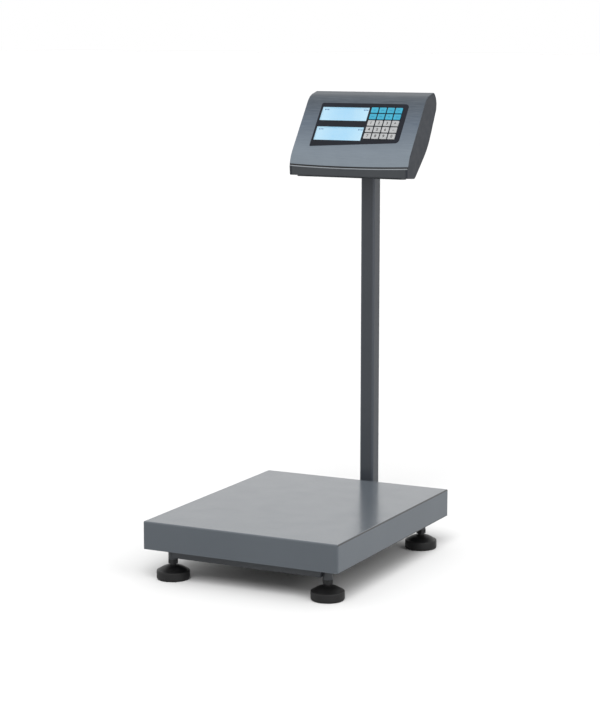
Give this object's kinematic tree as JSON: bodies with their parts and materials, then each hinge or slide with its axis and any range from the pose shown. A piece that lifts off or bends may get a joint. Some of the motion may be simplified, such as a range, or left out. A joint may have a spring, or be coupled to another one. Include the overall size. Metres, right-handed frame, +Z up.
{
  "type": "platform shipping scale",
  "caption": "Floor-standing platform scale: a flat steel weighing pan on levelling feet, with a rear column that carries a tilting indicator head with displays and keys.",
  "frame": {"origin": "on the floor, under the middle of the weighing pan", "axes": "+X to the operator's right, +Y back from the operator towards the column, +Z up"},
  "size_m": [0.4, 0.5929, 0.8867],
  "materials": {
    "painted_steel": "semi-gloss blue-grey powder paint",
    "column_paint": "semi-gloss dark grey powder paint",
    "frame_steel": "satin dark grey powder paint",
    "bright_steel": "zinc plated",
    "black_hardware": "black oxide",
    "cell_aluminium": "satin machined",
    "rubber": "matte",
    "foot_plastic": "matte black moulded rubber",
    "knob_plastic": "fine grained",
    "cable_sheath": "satin",
    "head_front": "metallic grey with a fine horizontal grain",
    "head_rear": "fine moulded texture",
    "panel_film": "dark semi-gloss film",
    "display_pane": "clear pane",
    "display_light": "pale blue backlit panel",
    "circuit_board": "solder mask",
    "silicone": "matte silicone",
    "battery_case": "moulded",
    "key_cyan": "satin",
    "key_white": "satin"
  },
  "bodies": {
    "base": {"base_frame": "frame_steel", "foot_locknuts": "black_hardware", "load_cell": "cell_aluminium", "cell_lower_bolts": "bright_steel", "overload_stops": "bright_steel", "column_bracket": "frame_steel", "bracket_bolts": "bright_steel", "column": "column_paint", "column_bolts": "bright_steel", "mast_bracket": "frame_steel", "tilt_bolt": "bright_steel", "signal_cable": "cable_sheath"},
    "load_deck": {"top_frame": "frame_steel", "cell_upper_bolts": "bright_steel", "support_pads": "rubber"},
    "platter": {"platter": "painted_steel"},
    "tilt_knob": {"tilt_knob": "knob_plastic"},
    "head": {"front_shell": "head_front", "rear_shell": "head_rear", "left_cheek": "head_rear", "right_cheek": "head_rear", "shell_seal": "rubber", "panel_bezel": "panel_film", "display_windows": "display_pane", "lcd_modules": "display_light", "main_board": "circuit_board", "keypad_mat": "silicone", "battery": "battery_case", "housing_screws": "bright_steel", "power_panel": "head_rear"},
    "battery_door": {"battery_door": "head_rear"},
    "power_rocker": {"power_rocker": "knob_plastic"},
    "foot_pad_front_left": {"foot_pad_front_left": "foot_plastic"},
    "foot_stud_front_left": {"foot_stud_front_left": "black_hardware"},
    "foot_pad_front_right": {"foot_pad_front_right": "foot_plastic"},
    "foot_stud_front_right": {"foot_stud_front_right": "black_hardware"},
    "foot_pad_rear_left": {"foot_pad_rear_left": "foot_plastic"},
    "foot_stud_rear_left": {"foot_stud_rear_left": "black_hardware"},
    "foot_pad_rear_right": {"foot_pad_rear_right": "foot_plastic"},
    "foot_stud_rear_right": {"foot_stud_rear_right": "black_hardware"},
    "key_a1": {"key_a1": "key_cyan"},
    "key_a2": {"key_a2": "key_cyan"},
    "key_a3": {"key_a3": "key_cyan"},
    "key_a4": {"key_a4": "key_cyan"},
    "key_b1": {"key_b1": "key_cyan"},
    "key_b2": {"key_b2": "key_cyan"},
    "key_b3": {"key_b3": "key_cyan"},
    "key_b4": {"key_b4": "key_cyan"},
    "key_c1": {"key_c1": "key_white"},
    "key_c2": {"key_c2": "key_white"},
    "key_c3": {"key_c3": "key_white"},
    "key_c4": {"key_c4": "key_white"},
    "key_d1": {"key_d1": "key_white"},
    "key_d2": {"key_d2": "key_white"},
    "key_d3": {"key_d3": "key_white"},
    "key_d4": {"key_d4": "key_white"},
    "key_e1": {"key_e1": "key_white"},
    "key_e2": {"key_e2": "key_white"},
    "key_e3": {"key_e3": "key_white"},
    "key_e4": {"key_e4": "key_white"}
  },
  "joints": [
    {"name": "deck_deflection", "type": "slide", "parent": "base", "child": "load_deck", "axis": [0, 0, 1], "range_m": [-0.0005, 0], "stiffness_N_per_m": 400000, "springref_m": 0.0005, "deforming": ["load_cell"]},
    {"name": "platter_lift", "type": "slide", "parent": "load_deck", "child": "platter", "axis": [0, 0, 1], "range_m": [0, 0.08]},
    {"name": "head_tilt", "type": "hinge", "parent": "base", "child": "head", "pos_m": [0, 0.3116, 0.775], "axis": [1, 0, 0], "range_deg": [-25, 15], "stiffness_Nm_per_rad": 300},
    {"name": "knob_turn", "type": "hinge", "parent": "base", "child": "tilt_knob", "pos_m": [0.02, 0.3116, 0.775], "axis": [1, 0, 0], "range_deg": [0, 180]},
    {"name": "foot_front_left_height", "type": "slide", "parent": "base", "child": "foot_pad_front_left", "axis": [0, 0, 1], "range_m": [-0.008, 0.003], "stiffness_N_per_m": 40000},
    {"name": "foot_front_left_turn", "type": "hinge", "parent": "foot_pad_front_left", "child": "foot_stud_front_left", "pos_m": [-0.16, -0.2095, 0.03], "axis": [0, 0, 1], "range_deg": [-1650, 620]},
    {"name": "foot_front_right_height", "type": "slide", "parent": "base", "child": "foot_pad_front_right", "axis": [0, 0, 1], "range_m": [-0.008, 0.003], "stiffness_N_per_m": 40000},
    {"name": "foot_front_right_turn", "type": "hinge", "parent": "foot_pad_front_right", "child": "foot_stud_front_right", "pos_m": [0.16, -0.2095, 0.03], "axis": [0, 0, 1], "range_deg": [-1650, 620]},
    {"name": "foot_rear_left_height", "type": "slide", "parent": "base", "child": "foot_pad_rear_left", "axis": [0, 0, 1], "range_m": [-0.008, 0.003], "stiffness_N_per_m": 40000},
    {"name": "foot_rear_left_turn", "type": "hinge", "parent": "foot_pad_rear_left", "child": "foot_stud_rear_left", "pos_m": [-0.16, 0.2095, 0.03], "axis": [0, 0, 1], "range_deg": [-1650, 620]},
    {"name": "foot_rear_right_height", "type": "slide", "parent": "base", "child": "foot_pad_rear_right", "axis": [0, 0, 1], "range_m": [-0.008, 0.003], "stiffness_N_per_m": 40000},
    {"name": "foot_rear_right_turn", "type": "hinge", "parent": "foot_pad_rear_right", "child": "foot_stud_rear_right", "pos_m": [0.16, 0.2095, 0.03], "axis": [0, 0, 1], "range_deg": [-1650, 620]},
    {"name": "battery_door_open", "type": "hinge", "parent": "head", "child": "battery_door", "pos_m": [-0.062, 0.28548, 0.76088], "axis": [1, 0, 0], "range_deg": [0, 95], "stiffness_Nm_per_rad": 0.03, "springref_deg": -17.19},
    {"name": "power_rock", "type": "hinge", "parent": "head", "child": "power_rocker", "pos_m": [0.058, 0.26439, 0.74919], "axis": [0, 0.7436, 0.6686], "range_deg": [-7, 7]},
    {"name": "press_a1", "type": "slide", "parent": "head", "child": "key_a1", "axis": [0, 0.809, -0.5878], "range_m": [0, 0.0008], "stiffness_N_per_m": 150, "springref_m": -0.001},
    {"name": "press_a2", "type": "slide", "parent": "head", "child": "key_a2", "axis": [0, 0.809, -0.5878], "range_m": [0, 0.0008], "stiffness_N_per_m": 150, "springref_m": -0.001},
    {"name": "press_a3", "type": "slide", "parent": "head", "child": "key_a3", "axis": [0, 0.809, -0.5878], "range_m": [0, 0.0008], "stiffness_N_per_m": 150, "springref_m": -0.001},
    {"name": "press_a4", "type": "slide", "parent": "head", "child": "key_a4", "axis": [0, 0.809, -0.5878], "range_m": [0, 0.0008], "stiffness_N_per_m": 150, "springref_m": -0.001},
    {"name": "press_b1", "type": "slide", "parent": "head", "child": "key_b1", "axis": [0, 0.809, -0.5878], "range_m": [0, 0.0008], "stiffness_N_per_m": 150, "springref_m": -0.001},
    {"name": "press_b2", "type": "slide", "parent": "head", "child": "key_b2", "axis": [0, 0.809, -0.5878], "range_m": [0, 0.0008], "stiffness_N_per_m": 150, "springref_m": -0.001},
    {"name": "press_b3", "type": "slide", "parent": "head", "child": "key_b3", "axis": [0, 0.809, -0.5878], "range_m": [0, 0.0008], "stiffness_N_per_m": 150, "springref_m": -0.001},
    {"name": "press_b4", "type": "slide", "parent": "head", "child": "key_b4", "axis": [0, 0.809, -0.5878], "range_m": [0, 0.0008], "stiffness_N_per_m": 150, "springref_m": -0.001},
    {"name": "press_c1", "type": "slide", "parent": "head", "child": "key_c1", "axis": [0, 0.809, -0.5878], "range_m": [0, 0.0008], "stiffness_N_per_m": 150, "springref_m": -0.001},
    {"name": "press_c2", "type": "slide", "parent": "head", "child": "key_c2", "axis": [0, 0.809, -0.5878], "range_m": [0, 0.0008], "stiffness_N_per_m": 150, "springref_m": -0.001},
    {"name": "press_c3", "type": "slide", "parent": "head", "child": "key_c3", "axis": [0, 0.809, -0.5878], "range_m": [0, 0.0008], "stiffness_N_per_m": 150, "springref_m": -0.001},
    {"name": "press_c4", "type": "slide", "parent": "head", "child": "key_c4", "axis": [0, 0.809, -0.5878], "range_m": [0, 0.0008], "stiffness_N_per_m": 150, "springref_m": -0.001},
    {"name": "press_d1", "type": "slide", "parent": "head", "child": "key_d1", "axis": [0, 0.809, -0.5878], "range_m": [0, 0.0008], "stiffness_N_per_m": 150, "springref_m": -0.001},
    {"name": "press_d2", "type": "slide", "parent": "head", "child": "key_d2", "axis": [0, 0.809, -0.5878], "range_m": [0, 0.0008], "stiffness_N_per_m": 150, "springref_m": -0.001},
    {"name": "press_d3", "type": "slide", "parent": "head", "child": "key_d3", "axis": [0, 0.809, -0.5878], "range_m": [0, 0.0008], "stiffness_N_per_m": 150, "springref_m": -0.001},
    {"name": "press_d4", "type": "slide", "parent": "head", "child": "key_d4", "axis": [0, 0.809, -0.5878], "range_m": [0, 0.0008], "stiffness_N_per_m": 150, "springref_m": -0.001},
    {"name": "press_e1", "type": "slide", "parent": "head", "child": "key_e1", "axis": [0, 0.809, -0.5878], "range_m": [0, 0.0008], "stiffness_N_per_m": 150, "springref_m": -0.001},
    {"name": "press_e2", "type": "slide", "parent": "head", "child": "key_e2", "axis": [0, 0.809, -0.5878], "range_m": [0, 0.0008], "stiffness_N_per_m": 150, "springref_m": -0.001},
    {"name": "press_e3", "type": "slide", "parent": "head", "child": "key_e3", "axis": [0, 0.809, -0.5878], "range_m": [0, 0.0008], "stiffness_N_per_m": 150, "springref_m": -0.001},
    {"name": "press_e4", "type": "slide", "parent": "head", "child": "key_e4", "axis": [0, 0.809, -0.5878], "range_m": [0, 0.0008], "stiffness_N_per_m": 150, "springref_m": -0.001}
  ],
  "couplings": [
    {"joint": "foot_front_left_turn", "follows": "foot_front_left_height", "rad_per_m": 3590.4},
    {"joint": "foot_front_right_turn", "follows": "foot_front_right_height", "rad_per_m": 3590.4},
    {"joint": "foot_rear_left_turn", "follows": "foot_rear_left_height", "rad_per_m": 3590.4},
    {"joint": "foot_rear_right_turn", "follows": "foot_rear_right_height", "rad_per_m": 3590.4}
  ]
}
